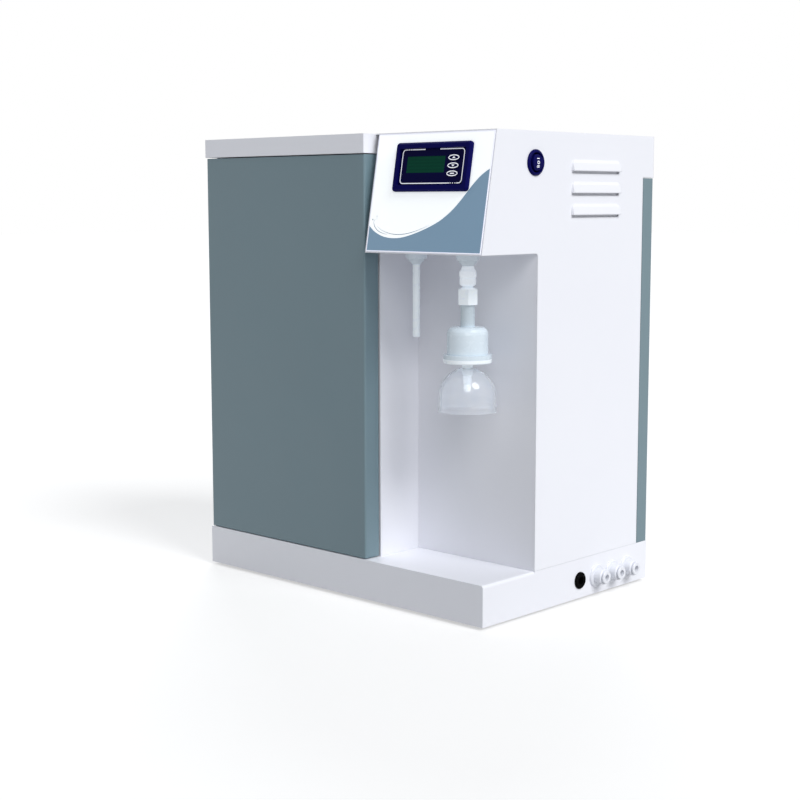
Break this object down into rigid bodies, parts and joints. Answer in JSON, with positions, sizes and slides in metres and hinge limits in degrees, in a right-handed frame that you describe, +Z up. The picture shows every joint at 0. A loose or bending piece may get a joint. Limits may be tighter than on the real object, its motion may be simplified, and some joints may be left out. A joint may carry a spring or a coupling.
{
  "type": "ultrapure water system",
  "caption": "Bench-top water purifier: white sheet cabinet, teal door, sloped meter fascia and a corner bay with a spout, capsule filter and filling bell.",
  "frame": {"origin": "on the bench, in the middle of the footprint with the ports included", "axes": "+Z up, +X right as seen from the front, front faces -Y"},
  "size_m": [0.4138, 0.2783, 0.473],
  "materials": {
    "white_paint": "smooth gloss powder coat",
    "teal_paint": "satin powder coat",
    "overlay_film": "printed polycarbonate film, white over blue-grey",
    "navy_plastic": "satin moulded",
    "display_glass": "green display window",
    "natural_plastic": "translucent natural polypropylene",
    "filter_plastic": "translucent moulded",
    "bell_plastic": "clear moulded",
    "port_plastic": "white moulded",
    "black_rubber": "matt",
    "plated_steel": "zinc plated",
    "stainless_steel": "brushed",
    "galvanised_sheet": "galvanised",
    "cartridge_plastic": "smooth white moulded",
    "black_plastic": "moulded",
    "circuit_board": "solder mask",
    "magnet": "ferrite in a plastic case",
    "quartz": "clear",
    "membrane": "pleated",
    "hose": "translucent polyethylene"
  },
  "bodies": {
    "cabinet": {"rubber_feet": "black_rubber", "base_pan": "white_paint", "base_end_panel": "white_paint", "right_side_panel": "white_paint", "left_side_panel": "white_paint", "top_cover": "white_paint", "bay_liner": "white_paint", "head_fascia": "white_paint", "rear_cover": "teal_paint", "housing_screws": "plated_steel", "door_pivot_pins": "plated_steel", "door_magnets": "magnet", "switch_housing": "navy_plastic", "panel_overlay": "overlay_film", "meter_bezel": "navy_plastic", "meter_faceplate": "navy_plastic", "lcd_window": "display_glass", "meter_case": "black_plastic", "meter_board": "circuit_board", "spout_fitting": "natural_plastic", "filter_fitting": "natural_plastic", "outlet_spout": "natural_plastic", "locknuts": "natural_plastic", "filter_coupling": "natural_plastic", "cable_grommet": "black_rubber", "port_bodies": "port_plastic", "cartridge_rack": "galvanised_sheet", "sediment_cartridge": "cartridge_plastic", "carbon_cartridge": "cartridge_plastic", "deionising_cartridge": "cartridge_plastic", "polishing_column": "cartridge_plastic", "membrane_vessel": "cartridge_plastic", "membrane_element": "membrane", "uv_reactor": "stainless_steel", "uv_lamp": "quartz", "cartridge_clips": "black_plastic", "pump_motor": "black_plastic", "pump_head": "black_plastic", "power_supply": "galvanised_sheet", "control_board": "circuit_board", "inlet_valve": "black_plastic", "flush_valve": "black_plastic", "pressure_switch": "black_plastic", "internal_hoses": "hose"},
    "door": {"front_cover": "teal_paint"},
    "power_rocker": {"switch_rocker": "navy_plastic"},
    "key_up": {"key_up": "navy_plastic"},
    "key_down": {"key_down": "navy_plastic"},
    "key_enter": {"key_enter": "navy_plastic"},
    "feed_collet": {"feed_port_collet": "port_plastic"},
    "waste_collet": {"waste_port_collet": "port_plastic"},
    "tank_collet": {"tank_port_collet": "port_plastic"},
    "filter_capsule": {"capsule_shell": "filter_plastic", "capsule_membrane": "membrane", "capsule_base": "filter_plastic", "union_ferrule": "natural_plastic"},
    "union_nut": {"union_nut": "natural_plastic"},
    "filling_bell": {"filling_bell": "bell_plastic"},
    "pump_rotor": {"pump_shaft": "plated_steel"},
    "inlet_plunger": {"inlet_valve_plunger": "plated_steel"},
    "flush_plunger": {"flush_valve_plunger": "plated_steel"}
  },
  "joints": [
    {"name": "door_swing", "type": "hinge", "parent": "cabinet", "child": "door", "pos_m": [-0.19894, -0.124, 0.044], "axis": [0, 0, -1], "range_deg": [0, 100]},
    {"name": "power_rock", "type": "hinge", "parent": "cabinet", "child": "power_rocker", "pos_m": [0.18856, -0.0624, 0.443], "axis": [0, 1, 0], "range_deg": [-9, 9]},
    {"name": "up_press", "type": "slide", "parent": "cabinet", "child": "key_up", "axis": [0, 0.9843, -0.1766], "range_m": [0, 0.0008], "stiffness_N_per_m": 400},
    {"name": "down_press", "type": "slide", "parent": "cabinet", "child": "key_down", "axis": [0, 0.9843, -0.1766], "range_m": [0, 0.0008], "stiffness_N_per_m": 400},
    {"name": "enter_press", "type": "slide", "parent": "cabinet", "child": "key_enter", "axis": [0, 0.9843, -0.1766], "range_m": [0, 0.0008], "stiffness_N_per_m": 400},
    {"name": "feed_release", "type": "slide", "parent": "cabinet", "child": "feed_collet", "axis": [-1, 0, 0], "range_m": [0, 0.0013], "stiffness_N_per_m": 1500},
    {"name": "waste_release", "type": "slide", "parent": "cabinet", "child": "waste_collet", "axis": [-1, 0, 0], "range_m": [0, 0.0013], "stiffness_N_per_m": 1500},
    {"name": "tank_release", "type": "slide", "parent": "cabinet", "child": "tank_collet", "axis": [-1, 0, 0], "range_m": [0, 0.0013], "stiffness_N_per_m": 1500},
    {"name": "filter_removal", "type": "slide", "parent": "cabinet", "child": "filter_capsule", "axis": [0, 0, -1], "range_m": [0, 0.03]},
    {"name": "union_turn", "type": "hinge", "parent": "filter_capsule", "child": "union_nut", "pos_m": [0.13806, -0.096, 0.3071], "axis": [0, 0, 1], "continuous": true},
    {"name": "bell_removal", "type": "slide", "parent": "filter_capsule", "child": "filling_bell", "axis": [0, 0, -1], "range_m": [0, 0.035]},
    {"name": "pump_spin", "type": "hinge", "parent": "cabinet", "child": "pump_rotor", "pos_m": [0.05706, 0.095, 0.082], "axis": [1, 0, 0], "continuous": true},
    {"name": "inlet_plunger_lift", "type": "slide", "parent": "cabinet", "child": "inlet_plunger", "axis": [0, 0, 1], "range_m": [0, 0.003], "stiffness_N_per_m": 150},
    {"name": "flush_plunger_lift", "type": "slide", "parent": "cabinet", "child": "flush_plunger", "axis": [0, 0, 1], "range_m": [0, 0.003], "stiffness_N_per_m": 150}
  ]
}
